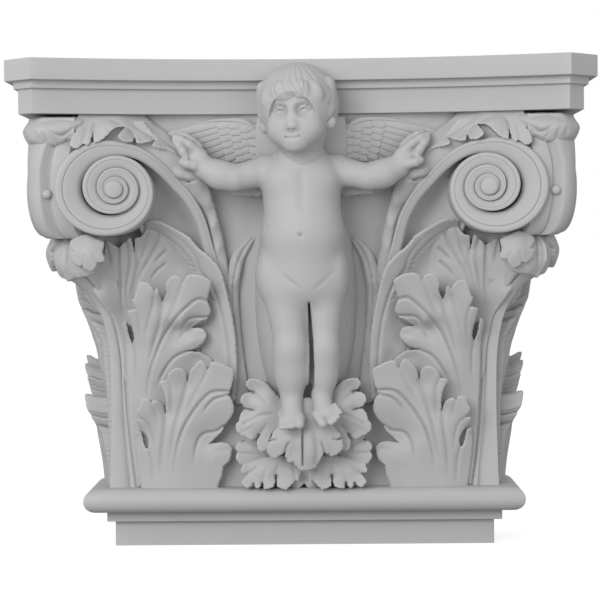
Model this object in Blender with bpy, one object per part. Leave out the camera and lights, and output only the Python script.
"""Pilaster capital with a winged infant between acanthus leaves and corner volutes.

One casting, flat at the back where it meets the wall. Metres, +Z up. The origin is the
centre of the neck band's underside, the front faces -Y and the wall is on the +Y side.
"""
import math

import bmesh
import bpy
import numpy as np
from mathutils import Matrix, Vector

# Neck, the plain band that sits on the pilaster's shaft
NECK_WIDTH = 0.371
NECK_DEPTH = 0.090
NECK_HEIGHT = 0.0244
FILLET_HEIGHT = 0.0101
FILLET_REACH = 0.0075
TORUS_HEIGHT = 0.0230
TORUS_REACH = 0.0285

# Bell, the smooth core between torus and abacus
BELL_HEIGHT = 0.3611
BELL_FLARE = 0.034
BELL_FLARE_START = 0.62

# Abacus, three bands with a hollow front and cut corners
LOWER_BAND_HEIGHT = 0.0235
MIDDLE_BAND_HEIGHT = 0.0075
TOP_BAND_HEIGHT = 0.0204
MIDDLE_BAND_STEP = 0.0045
TOP_BAND_STEP = 0.0085
ABACUS_REACH = 0.0945
ABACUS_HOLLOW = 0.0440
CORNER_CUT = 0.0280
ARC_STEPS = 12

# Corner volutes
VOLUTE_RADIUS = 0.0455
VOLUTE_PITCH = 0.0180
VOLUTE_IN = 0.0930
VOLUTE_DROP = 0.0670
VOLUTE_FACE = 0.0220
VOLUTE_BACK = 0.0435
VOLUTE_TWIST = math.radians(12.0)
RIM_DEPTH = 0.0075

# Leaves: the drawing of one half of the front was made for a bell of this size
DRAWN_HALF_WIDTH = 0.1855
DRAWN_NECK_TOP = 0.0575
DRAWN_BELL_HEIGHT = 0.3611
CORNER_WRAP = 0.0500

# The winged infant
FOOT_ABOVE_NECK = 0.0635
HEAD_GAP = 0.0030
FIGURE_FORWARD = 0.0130

# Fineness of the finished solid
VOXEL = 0.0030
TARGET_TRIANGLES = 8600
SINK = 0.0060

NECK_TOP = NECK_HEIGHT + FILLET_HEIGHT + TORUS_HEIGHT
BELL_TOP = NECK_TOP + BELL_HEIGHT
ABACUS_TOP = BELL_TOP + LOWER_BAND_HEIGHT + MIDDLE_BAND_HEIGHT + TOP_BAND_HEIGHT
WALL_Y = NECK_DEPTH / 2
ROUGH_BACK = WALL_Y + 2 * SINK
FRONT_Y = -NECK_DEPTH / 2
HALF_NECK = NECK_WIDTH / 2
HALF_TOP = HALF_NECK + ABACUS_REACH
FIGURE_FOOT = NECK_TOP + FOOT_ABOVE_NECK
FIGURE_HEIGHT = ABACUS_TOP - HEAD_GAP - FIGURE_FOOT


def clear_scene():
    for item in list(bpy.data.objects):
        bpy.data.objects.remove(item, do_unlink=True)


def grey_finish():
    finish = bpy.data.materials.new("primed_grey")
    finish.use_nodes = True
    shader = finish.node_tree.nodes["Principled BSDF"]
    shader.inputs["Base Color"].default_value = (0.56, 0.56, 0.56, 1.0)
    shader.inputs["Roughness"].default_value = 0.62
    shader.inputs["Metallic"].default_value = 0.0
    return finish


def smooth(t):
    t = np.clip(t, 0.0, 1.0)
    return t * t * (3.0 - 2.0 * t)


def flare(z):
    """How far the bell leans out past the neck's faces at height z."""
    share = (z - NECK_TOP) / BELL_HEIGHT
    return BELL_FLARE * smooth((share - BELL_FLARE_START) / (1.0 - BELL_FLARE_START)) ** 1.4


def fitted(p, z):
    """A place on the drawing, carried over to the real bell."""
    across = p * HALF_NECK / DRAWN_HALF_WIDTH
    up = NECK_TOP + (z - DRAWN_NECK_TOP) * BELL_HEIGHT / DRAWN_BELL_HEIGHT
    return across, up


def front_chart(p, z, h):
    """A point at p across, z up and h out from the bell's front."""
    x, up = fitted(p, z)
    return np.stack([x, FRONT_Y - flare(up) - h, up], axis=-1)


def corner_chart(p, z, h):
    """The same wrapped round the bell's right corner, where h runs out on the diagonal."""
    up = fitted(p, z)[1]
    lean = flare(up)
    angle = math.pi / 4 * (1.0 + np.clip(p / CORNER_WRAP, -1.0, 1.0))
    x = HALF_NECK + lean + np.minimum(p, 0.0) + h * np.sin(angle)
    y = FRONT_Y - lean + np.maximum(p, 0.0) - h * np.cos(angle)
    return np.stack([x, y, up], axis=-1)


def mesh_object(name, vertices, faces):
    mesh = bpy.data.meshes.new(name)
    mesh.from_pydata([tuple(v) for v in vertices], [], faces)
    mesh.update()
    part = bpy.data.objects.new(name, mesh)
    bpy.context.scene.collection.objects.link(part)
    return part


def shell(name, top, bottom):
    """A closed solid between two grids of points, rows by columns."""
    rows, columns = top.shape[:2]
    vertices = np.concatenate([top.reshape(-1, 3), bottom.reshape(-1, 3)])
    faces = []
    low = rows * columns
    for r in range(rows - 1):
        for c in range(columns - 1):
            a, b = r * columns + c, r * columns + c + 1
            d, e = a + columns, b + columns
            faces.append((a, b, e, d))
            faces.append((low + a, low + d, low + e, low + b))
    rim = [c for c in range(columns)]
    rim += [r * columns + columns - 1 for r in range(1, rows)]
    rim += [(rows - 1) * columns + c for c in range(columns - 2, -1, -1)]
    rim += [r * columns for r in range(rows - 2, 0, -1)]
    for a, b in zip(rim, rim[1:] + rim[:1]):
        faces.append((a, low + a, low + b, b))
    part = mesh_object(name, vertices, faces)
    point_outwards(part)
    return part


def point_outwards(part):
    shape = bmesh.new()
    shape.from_mesh(part.data)
    bmesh.ops.remove_doubles(shape, verts=shape.verts, dist=1e-5)
    bmesh.ops.recalc_face_normals(shape, faces=shape.faces)
    shape.to_mesh(part.data)
    shape.free()


def stacked(name, rings):
    """A closed solid through equal rings of points, with its two ends capped."""
    count = len(rings[0])
    vertices = [p for ring in rings for p in ring]
    faces = [tuple(range(count - 1, -1, -1)), tuple(range(len(vertices) - count, len(vertices)))]
    for r in range(len(rings) - 1):
        for c in range(count):
            d = (c + 1) % count
            low = r * count
            faces.append((low + c, low + d, low + count + d, low + count + c))
    part = mesh_object(name, vertices, faces)
    point_outwards(part)
    return part


def block_outline(reach, z):
    half = HALF_NECK + reach
    front = FRONT_Y - reach
    return [(-half, ROUGH_BACK, z), (-half, front, z), (half, front, z), (half, ROUGH_BACK, z)]


def abacus_outline(step, z):
    """Plan of one abacus band, set back by step from the widest one."""
    side = HALF_TOP - step
    corner_x = HALF_TOP - CORNER_CUT
    front = FRONT_Y - ABACUS_REACH + step
    cut = side - corner_x
    radius = (corner_x ** 2 + ABACUS_HOLLOW ** 2) / (2 * ABACUS_HOLLOW)
    sweep = math.asin(corner_x / radius)
    centre = front + ABACUS_HOLLOW - radius
    outline = [(-side, ROUGH_BACK, z), (-side, front + cut, z)]
    for i in range(ARC_STEPS + 1):
        angle = sweep * (2.0 * i / ARC_STEPS - 1.0)
        outline.append((radius * math.sin(angle), centre + radius * math.cos(angle), z))
    return outline + [(side, front + cut, z), (side, ROUGH_BACK, z)]


def neck():
    """Plain band, fillet and torus in one."""
    fillet_top = NECK_HEIGHT + FILLET_HEIGHT
    rings = [block_outline(0.0, 0.0), block_outline(0.0, NECK_HEIGHT),
             block_outline(FILLET_REACH, NECK_HEIGHT), block_outline(FILLET_REACH, fillet_top)]
    half_height = TORUS_HEIGHT / 2
    for angle in np.linspace(-math.pi / 2, math.pi / 2, 7):
        reach = TORUS_REACH - half_height * (1.0 - math.cos(angle))
        rings.append(block_outline(reach, fillet_top + half_height * (1.0 + math.sin(angle))))
    return stacked("neck", rings)


def abacus():
    """The three bands in one, each reaching further out than the one below."""
    lower_top = BELL_TOP + LOWER_BAND_HEIGHT
    middle_top = lower_top + MIDDLE_BAND_HEIGHT
    lower_step = MIDDLE_BAND_STEP + TOP_BAND_STEP
    levels = ((lower_step, BELL_TOP), (lower_step, lower_top), (TOP_BAND_STEP, lower_top),
              (TOP_BAND_STEP, middle_top), (0.0, middle_top), (0.0, ABACUS_TOP))
    return stacked("abacus", [abacus_outline(step, z) for step, z in levels])


def bell():
    levels = np.linspace(NECK_TOP - SINK, BELL_TOP + SINK, 15)
    return stacked("bell", [block_outline(float(flare(z)), z) for z in levels])


def bezier(a, b, c, t):
    t = t[:, None]
    return a * (1 - t) ** 2 + b * 2 * t * (1 - t) + c * t ** 2


def lobe_outline(tips, base, depth, per_lobe):
    """Half ellipses through the lobes' tips, with a notch between each two."""
    count = len(tips)
    root = (base[0] + base[1]) / 2
    notches = []
    for k in range(count + 1):
        before, after = tips[max(k - 1, 0)], tips[min(k, count - 1)]
        if k in (0, count):
            other = tips[1] if k == 0 else tips[count - 2]
            spot = before + (before - other) * 0.35
            gap = np.linalg.norm((before - other)[:2])
        else:
            spot = (before + after) / 2
            gap = np.linalg.norm((before - after)[:2])
        inward = root - spot[:2]
        inward /= np.linalg.norm(inward)
        notches.append(np.append(spot[:2] + inward * depth * gap, spot[2] - 0.004))
    line = []
    for k in range(count):
        steps = per_lobe + (1 if k == count - 1 else 0)
        for i in range(steps):
            angle = math.pi * i / per_lobe
            middle = (notches[k] + notches[k + 1]) / 2
            span = (notches[k + 1] - notches[k]) / 2
            line.append(middle + (tips[k] - middle) * math.sin(angle) - span * math.cos(angle))
    return np.array(line)


def fan_leaf(name, chart, base, lobes, lift, rows=10, per_lobe=8, rise=0.5, notch=0.62, flute=0.006):
    """A leaf whose flutes rise from a narrow base and spread to a row of lobes.

    base holds the two ends (p, z) of the foot, and each lobe is (p, z, h) of its tip.
    The height above the bell grows from lift at the foot to the tips' h.
    """
    base = np.array(base, float)
    outline = lobe_outline(np.array(lobes, float), base, notch, per_lobe)
    columns = len(outline)
    top = np.zeros((rows, columns, 3))
    low = np.zeros((rows, columns, 3))
    along = np.linspace(0.0, 1.0, rows)
    for c in range(columns):
        root = base[0] + (base[1] - base[0]) * c / (columns - 1)
        reach = outline[c, :2] - root
        control = root + reach * (0.18, rise + 0.10)
        path = bezier(root, control, outline[c, :2], along)
        inside = (c % per_lobe) / per_lobe
        swell = math.sin(math.pi * inside)
        height = lift + (outline[c, 2] - lift) * along ** 1.5
        height = height + flute * (swell - 1.0) * smooth(along * 3.0)
        height = height + 0.005 * swell * smooth((along - 0.75) / 0.25)
        top[:, c] = chart(path[:, 0], path[:, 1], height)
        low[:, c] = chart(path[:, 0], path[:, 1], np.full(rows, -SINK))
    return shell(name, top, low)


def band_leaf(name, chart, path, widths, height, bulge):
    """A long leaf, stalk or ribbon that follows a path across the bell."""
    path = np.array(path, float)
    steps = np.linspace(0, len(path) - 1, 5 * (len(path) - 1) + 1)
    line = np.stack([np.interp(steps, range(len(path)), path[:, k]) for k in range(2)], axis=1)
    for _ in range(4):
        line[1:-1] = (line[:-2] + 2 * line[1:-1] + line[2:]) / 4
    width = np.interp(steps, np.linspace(0, len(path) - 1, len(widths)), widths)
    level = np.interp(steps, np.linspace(0, len(path) - 1, len(height)), height)
    tangent = np.gradient(line, axis=0)
    tangent /= np.linalg.norm(tangent, axis=1)[:, None]
    across = np.stack([tangent[:, 1], -tangent[:, 0]], axis=1)
    columns = 7
    top = np.zeros((len(steps), columns, 3))
    low = np.zeros((len(steps), columns, 3))
    for c in range(columns):
        share = 2.0 * c / (columns - 1) - 1.0
        spot = line + across * (share * width / 2)[:, None]
        rise = level + bulge * math.sqrt(max(0.0, 1.0 - share * share))
        top[:, c] = chart(spot[:, 0], spot[:, 1], rise)
        low[:, c] = chart(spot[:, 0], spot[:, 1], np.full(len(steps), -SINK))
    return shell(name, top, low)


def volute():
    """The right front volute: a disc whose face carries a raised spiral."""
    rings, sectors = 22, 48
    top = np.zeros((rings, sectors + 1, 3))
    low = np.zeros((rings, sectors + 1, 3))
    centre_x = HALF_TOP - VOLUTE_IN
    centre_z = BELL_TOP - VOLUTE_DROP
    for r in range(rings):
        radius = VOLUTE_RADIUS * r / (rings - 1)
        for s in range(sectors + 1):
            angle = 2 * math.pi * s / sectors
            turn = angle / (2 * math.pi)
            place = (VOLUTE_RADIUS - VOLUTE_PITCH * turn - radius) / VOLUTE_PITCH
            phase = place - math.floor(place)
            rim = 1.0 - smooth(np.abs(phase - 0.18) / 0.26)
            edge = smooth((VOLUTE_RADIUS - radius) / 0.004)
            high = VOLUTE_FACE + RIM_DEPTH * float(rim) - 0.006 * (1 - float(edge))
            high += 0.010 * (1.0 - radius / VOLUTE_RADIUS) ** 2
            x = centre_x + radius * math.cos(angle)
            z = centre_z - radius * math.sin(angle)
            lean = math.tan(VOLUTE_TWIST) * (x - centre_x)
            out = ABACUS_REACH - VOLUTE_BACK + high + lean
            top[r, s] = (x, FRONT_Y - out, z)
            low[r, s] = (x, FRONT_Y + SINK, z)
    return shell("volute", top, low)


def corner_band():
    """The upright roll between the front volute and its neighbour round the corner."""
    rows, columns = 14, 7
    half = math.sqrt(0.5)
    centre = np.array([HALF_TOP - 0.026, FRONT_Y - ABACUS_REACH + 0.026])
    out = np.array([half, -half])
    side = np.array([half, half])
    top = np.zeros((rows, columns, 3))
    low = np.zeros((rows, columns, 3))
    for r in range(rows):
        share = r / (rows - 1)
        z = BELL_TOP - 0.026 - share * 0.088
        belly = math.sin(math.pi * (0.12 + 0.80 * share)) * 0.014 - 0.012
        for c in range(columns):
            across = (2.0 * c / (columns - 1) - 1.0)
            roll = 0.005 * math.sqrt(1.0 - 0.96 * across * across)
            spot = centre + out * (belly + roll) + side * across * 0.0125
            top[r, c] = (spot[0], spot[1], z)
            back = centre - out * 0.065 + side * across * 0.0125
            low[r, c] = (back[0], back[1], z)
    return shell("corner_band", top, low)


def ball(name, centre, radii):
    shape = bmesh.new()
    bmesh.ops.create_icosphere(shape, subdivisions=3, radius=1.0)
    place = Matrix.Translation(centre) @ Matrix.Diagonal((*radii, 1.0))
    bmesh.ops.transform(shape, matrix=place, verts=shape.verts)
    part = mesh_object(name, [], [])
    shape.to_mesh(part.data)
    shape.free()
    return part


def limb(name, start, end, start_radius, end_radius):
    """A tapered limb with round ends."""
    start, end = Vector(start), Vector(end)
    pieces = []
    steps = 7
    for i in range(steps + 1):
        share = i / steps
        radius = start_radius + (end_radius - start_radius) * share
        pieces.append(ball(name, start.lerp(end, share), (radius, radius, radius)))
    return pieces


def figure():
    """The infant, in shares of its own height, standing on its feet."""
    unit = FIGURE_HEIGHT
    depth = -FRONT_Y + FIGURE_FORWARD

    def at(x, out, up):
        return (x * unit, -(depth + out * unit), FIGURE_FOOT + up * unit)

    parts = []
    parts.append(ball("skull", at(0.004, 0.160, 0.885), (0.098 * unit, 0.095 * unit, 0.112 * unit)))
    parts.append(ball("cheeks", at(0.004, 0.178, 0.828), (0.082 * unit, 0.078 * unit, 0.080 * unit)))
    parts += limb("neck", at(0.0, 0.130, 0.70), at(0.003, 0.150, 0.80), 0.062 * unit, 0.058 * unit)
    parts.append(ball("chest", at(0.0, 0.100, 0.640), (0.108 * unit, 0.090 * unit, 0.105 * unit)))
    parts.append(ball("belly", at(0.0, 0.112, 0.530), (0.098 * unit, 0.098 * unit, 0.120 * unit)))
    parts.append(ball("hips", at(0.0, 0.095, 0.410), (0.115 * unit, 0.088 * unit, 0.085 * unit)))
    for side in (-1, 1):
        parts += limb("thigh", at(0.056 * side, 0.10, 0.385), at(0.040 * side, 0.105, 0.220),
                      0.063 * unit, 0.046 * unit)
        parts += limb("shin", at(0.040 * side, 0.10, 0.210), at(0.037 * side, 0.095, 0.060),
                      0.045 * unit, 0.028 * unit)
        parts += limb("foot", at(0.037 * side, 0.10, 0.075), at(0.048 * side, 0.155, 0.024),
                      0.034 * unit, 0.030 * unit)
        parts += limb("upper_arm", at(0.105 * side, 0.095, 0.700), at(0.195 * side, 0.110, 0.683),
                      0.036 * unit, 0.034 * unit)
        parts += limb("forearm", at(0.195 * side, 0.110, 0.683), at(0.290 * side, 0.085, 0.715),
                      0.034 * unit, 0.024 * unit)
        parts += limb("hand", at(0.300 * side, 0.085, 0.720), at(0.345 * side, 0.080, 0.755),
                      0.026 * unit, 0.016 * unit)
        parts.append(ball("side_curl", at(0.090 * side, 0.150, 0.860),
                          (0.028 * unit, 0.040 * unit, 0.060 * unit)))
    for x, up in ((-0.060, 0.905), (-0.030, 0.918), (0.002, 0.922), (0.034, 0.922), (0.062, 0.908)):
        parts.append(ball("fringe", at(x, 0.215 - abs(x) * 0.4, up),
                          (0.024 * unit, 0.036 * unit, 0.048 * unit)))
    parts.append(ball("nose", at(0.004, 0.246, 0.838), (0.016 * unit, 0.018 * unit, 0.022 * unit)))
    return parts


def backing():
    """The smooth swelling of the ground behind the infant."""
    centre = (0.0, FRONT_Y + SINK, FIGURE_FOOT + 0.445 * FIGURE_HEIGHT)
    return ball("backing", centre, (0.145 * FIGURE_HEIGHT, 0.133 * FIGURE_HEIGHT, 0.434 * FIGURE_HEIGHT))


def wing():
    """The right wing: fanned feathers behind the arm."""
    parts = [fan_leaf("wing", front_chart, ((0.038, 0.350), (0.044, 0.396)),
                      ((0.098, 0.372, 0.012), (0.114, 0.384, 0.012), (0.126, 0.398, 0.012),
                       (0.110, 0.408, 0.013), (0.088, 0.413, 0.014), (0.064, 0.412, 0.015)),
                      0.022, rise=0.55, notch=0.35, flute=0.003)]
    parts.append(band_leaf("covert", front_chart, [(0.034, 0.349), (0.052, 0.342), (0.070, 0.346)],
                           (0.014, 0.016, 0.008), (0.012, 0.012, 0.008), 0.004))
    return parts


def foliage():
    """Every leaf, stalk and scroll of the right half of the front."""
    parts = []
    parts.append(fan_leaf("low_leaf", front_chart, ((0.074, 0.052), (0.160, 0.052)),
                          ((0.052, 0.090, 0.018), (0.056, 0.128, 0.024), (0.076, 0.180, 0.032),
                           (0.119, 0.177, 0.032), (0.146, 0.147, 0.028)), 0.010))
    parts.append(fan_leaf("upper_leaf", front_chart, ((0.148, 0.056), (0.178, 0.056)),
                          ((0.096, 0.194, 0.024), (0.090, 0.222, 0.030), (0.094, 0.258, 0.036),
                           (0.124, 0.262, 0.036), (0.154, 0.248, 0.032)), 0.008))
    parts.append(fan_leaf("tall_leaf", front_chart, ((0.160, 0.180), (0.180, 0.180)),
                          ((0.136, 0.254, 0.020), (0.131, 0.276, 0.022), (0.133, 0.298, 0.024),
                           (0.152, 0.312, 0.026), (0.180, 0.306, 0.028)), 0.012))
    parts.append(band_leaf("turned_leaf", front_chart,
                           [(0.060, 0.160), (0.062, 0.200), (0.074, 0.245), (0.094, 0.278), (0.120, 0.300),
                            (0.146, 0.308)],
                           (0.018, 0.024, 0.026, 0.022, 0.014, 0.006),
                           (0.006, 0.010, 0.014, 0.016, 0.016, 0.012), 0.007))
    parts.append(band_leaf("sheath_leaf", front_chart,
                           [(0.048, 0.150), (0.060, 0.200), (0.070, 0.245), (0.062, 0.280), (0.048, 0.306)],
                           (0.014, 0.014, 0.018, 0.014, 0.002), (0.002, 0.004, 0.006, 0.006, 0.002), 0.004))
    parts.append(band_leaf("stalk", front_chart,
                           [(0.066, 0.220), (0.082, 0.290), (0.092, 0.330), (0.104, 0.366)],
                           (0.010, 0.013, 0.017, 0.020), (0.004, 0.010, 0.016, 0.018), 0.007))
    parts.append(band_leaf("scroll_ribbon", front_chart,
                           [(0.076, 0.230), (0.096, 0.288), (0.112, 0.330), (0.134, 0.362), (0.162, 0.382),
                            (0.186, 0.388)],
                           (0.008, 0.011, 0.014, 0.016, 0.014, 0.010),
                           (0.004, 0.010, 0.018, 0.024, 0.034, 0.040), 0.005))
    parts.append(volute())
    parts.append(band_leaf("top_leaf", front_chart,
                           [(0.108, 0.392), (0.150, 0.402), (0.196, 0.403), (0.232, 0.402), (0.246, 0.402)],
                           (0.012, 0.020, 0.022, 0.026, 0.024), (0.008, 0.020, 0.032, 0.038, 0.034), 0.008))
    return parts


def corner_leaf():
    """The leaf that climbs the corner and rolls over under the volutes."""
    parts = [fan_leaf("corner_stem", corner_chart, ((-0.026, 0.052), (0.026, 0.052)),
                      ((-0.050, 0.268, 0.026), (-0.028, 0.288, 0.044), (0.0, 0.294, 0.056),
                       (0.028, 0.288, 0.044), (0.050, 0.268, 0.026)),
                      0.003, rise=0.66, notch=0.3, flute=0.003)]
    for p in (-0.036, -0.024, -0.012, 0.0, 0.012, 0.024, 0.036):
        reach = 0.056 - abs(p) * 0.40
        spot = corner_chart(np.array([p]), np.array([0.289]), np.array([reach]))[0]
        parts.append(ball("corner_curl", spot, (0.013, 0.013, 0.018)))
        drop = 0.274 + abs(p) * 0.2
        spot = corner_chart(np.array([p * 0.8]), np.array([drop]), np.array([reach + 0.003]))[0]
        parts.append(ball("corner_tip", spot, (0.009, 0.009, 0.013)))
    return parts


def bouquet():
    """The spray of small leaves under the infant's feet."""
    parts = [fan_leaf("hanging_leaf", front_chart, ((-0.012, 0.138), (0.012, 0.138)),
                      ((-0.036, 0.120, 0.052), (-0.028, 0.098, 0.050), (0.0, 0.082, 0.046),
                       (0.028, 0.098, 0.050), (0.036, 0.120, 0.052)), 0.046)]
    for side in (-1, 1):
        parts.append(fan_leaf("side_spray", front_chart, ((0.014 * side, 0.140), (0.010 * side, 0.120)),
                              ((0.030 * side, 0.168, 0.034), (0.054 * side, 0.158, 0.036),
                               (0.066 * side, 0.134, 0.036), (0.052 * side, 0.108, 0.036),
                               (0.028 * side, 0.104, 0.036)), 0.036))
        parts.append(fan_leaf("low_spray", front_chart, ((0.014 * side, 0.108), (0.004 * side, 0.096)),
                              ((0.052 * side, 0.090, 0.026), (0.060 * side, 0.074, 0.028),
                               (0.044 * side, 0.062, 0.028), (0.024 * side, 0.060, 0.030),
                               (0.006 * side, 0.068, 0.030)), 0.030))
    return parts


def mirrored(parts, matrix):
    copies = []
    for part in parts:
        copy = bpy.data.objects.new(part.name, part.data.copy())
        bpy.context.scene.collection.objects.link(copy)
        copy.data.transform(matrix)
        point_outwards(copy)
        copies.append(copy)
    return copies


def join(parts, name):
    """All parts in one mesh."""
    shape = bmesh.new()
    for part in parts:
        shape.from_mesh(part.data)
    joined = mesh_object(name, [], [])
    shape.to_mesh(joined.data)
    shape.free()
    for part in parts:
        bpy.data.objects.remove(part, do_unlink=True)
    return joined


def apply_modifiers(part):
    graph = bpy.context.evaluated_depsgraph_get()
    mesh = bpy.data.meshes.new_from_object(part.evaluated_get(graph))
    part.modifiers.clear()
    part.data = mesh


SIDE_PIECES = ("low_leaf", "upper_leaf", "tall_leaf", "scroll_ribbon", "volute", "top_leaf")


def fused_relief():
    """Bell, leaves, volutes and figure melted into one skin and thinned."""
    half = foliage() + wing() + [corner_band()]
    diagonal = Matrix(((0, -1, 0, HALF_NECK + FRONT_Y), (-1, 0, 0, HALF_NECK + FRONT_Y), (0, 0, 1, 0),
                       (0, 0, 0, 1)))
    around = [p for p in half if p.name.split(".")[0] in SIDE_PIECES]
    side = mirrored(around, diagonal)
    half = half + side + corner_leaf()
    flip = Matrix.Diagonal((-1.0, 1.0, 1.0, 1.0))
    pieces = half + mirrored(half, flip) + figure() + bouquet() + [backing(), bell()]
    relief = join(pieces, "relief")
    melt = relief.modifiers.new("melt", "REMESH")
    melt.mode = "VOXEL"
    melt.voxel_size = VOXEL
    melt.adaptivity = 0.0
    soften = relief.modifiers.new("soften", "SMOOTH")
    soften.factor = 0.5
    soften.iterations = 2
    apply_modifiers(relief)
    thin = relief.modifiers.new("thin", "DECIMATE")
    relief.data.calc_loop_triangles()
    thin.ratio = min(1.0, TARGET_TRIANGLES / len(relief.data.loop_triangles))
    apply_modifiers(relief)
    return relief


def combine(body, extra, operation):
    step = body.modifiers.new("combine", "BOOLEAN")
    step.operation = operation
    step.solver = "EXACT"
    step.object = extra
    apply_modifiers(body)
    bpy.data.objects.remove(extra, do_unlink=True)


def wall():
    """What the capital is set against: everything behind the wall's plane."""
    half = HALF_TOP + 0.1
    corners = [(-half, WALL_Y), (half, WALL_Y), (half, WALL_Y + half), (-half, WALL_Y + half)]
    return stacked("wall", [[(x, y, z) for x, y in corners] for z in (-half, ABACUS_TOP + half)])


def capital():
    body = fused_relief()
    combine(body, neck(), "UNION")
    combine(body, abacus(), "UNION")
    combine(body, wall(), "DIFFERENCE")
    body.name = "pilaster_capital"
    body.data.name = "pilaster_capital"
    body.data.materials.clear()
    body.data.materials.append(grey_finish())
    body.data.shade_smooth()
    body.data.set_sharp_from_angle(angle=math.radians(40.0))
    return body


clear_scene()
result = capital()
result.data.calc_loop_triangles()
print("triangles", len(result.data.loop_triangles))
